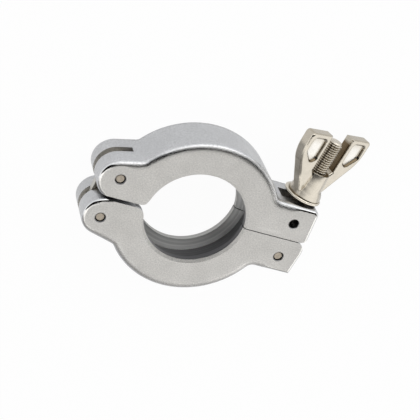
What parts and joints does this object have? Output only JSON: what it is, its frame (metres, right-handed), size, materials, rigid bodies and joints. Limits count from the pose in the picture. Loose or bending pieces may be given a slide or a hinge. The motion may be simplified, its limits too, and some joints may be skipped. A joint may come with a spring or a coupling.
{
  "type": "flange clamp",
  "caption": "Hinged ring clamp for a pair of small vacuum flanges: two cast jaws with a V groove, joined by a link hinge and closed by a swing bolt with a wing nut.",
  "frame": {"origin": "centre of the lower jaw's lip circle, at the middle of the clamp's width", "axes": "+Z along the flange axis towards the face that shows the wing nut's nearer wing, +X from the hinge to the bolt along the parting plane, +Y from the lower jaw to the upper jaw"},
  "size_m": [0.0873, 0.0672, 0.016],
  "materials": {
    "jaw": "cast aluminium, tumbled matte outside and machined in the bore",
    "steel": "plain rolled stainless steel",
    "pin": "cropped steel pin, nickel plated",
    "plated": "nickel plated, bright"
  },
  "bodies": {
    "lower_jaw": {"lower_jaw": "jaw", "lower_hinge_pin": "pin", "bolt_pivot_pin": "pin"},
    "hinge_link": {"hinge_link": "steel"},
    "upper_jaw": {"upper_jaw": "jaw", "upper_hinge_pin": "pin"},
    "swing_bolt": {"swing_bolt": "plated"},
    "washer": {"washer": "plated"},
    "wing_nut": {"wing_nut": "plated"}
  },
  "joints": [
    {"name": "link_pivot", "type": "hinge", "parent": "lower_jaw", "child": "hinge_link", "pos_m": [-0.0297, -0.00895, 0], "axis": [0, 0, 1], "range_deg": [0, 6.1]},
    {"name": "jaw_pivot", "type": "hinge", "parent": "hinge_link", "child": "upper_jaw", "pos_m": [-0.02855, 0.0058, 0], "axis": [0, 0, 1], "range_deg": [0, 6.1]},
    {"name": "bolt_swing", "type": "hinge", "parent": "lower_jaw", "child": "swing_bolt", "pos_m": [0.0332, -0.00675, 0], "axis": [0, 0, -1], "range_deg": [0, 110]},
    {"name": "nut_travel", "type": "slide", "parent": "swing_bolt", "child": "washer", "axis": [0.0958, 0.9954, 0], "range_m": [0, 0.0151]},
    {"name": "nut_spin", "type": "hinge", "parent": "washer", "child": "wing_nut", "pos_m": [0.0332, -0.00675, 0], "axis": [0.0958, 0.9954, 0], "range_deg": [0, 6750]}
  ],
  "couplings": [
    {"joint": "nut_travel", "follows": "nut_spin", "m_per_rad": 0.00012732},
    {"joint": "link_pivot", "follows": "nut_spin", "ratio": 0.00088889},
    {"joint": "jaw_pivot", "follows": "nut_spin", "ratio": 0.00088889}
  ]
}
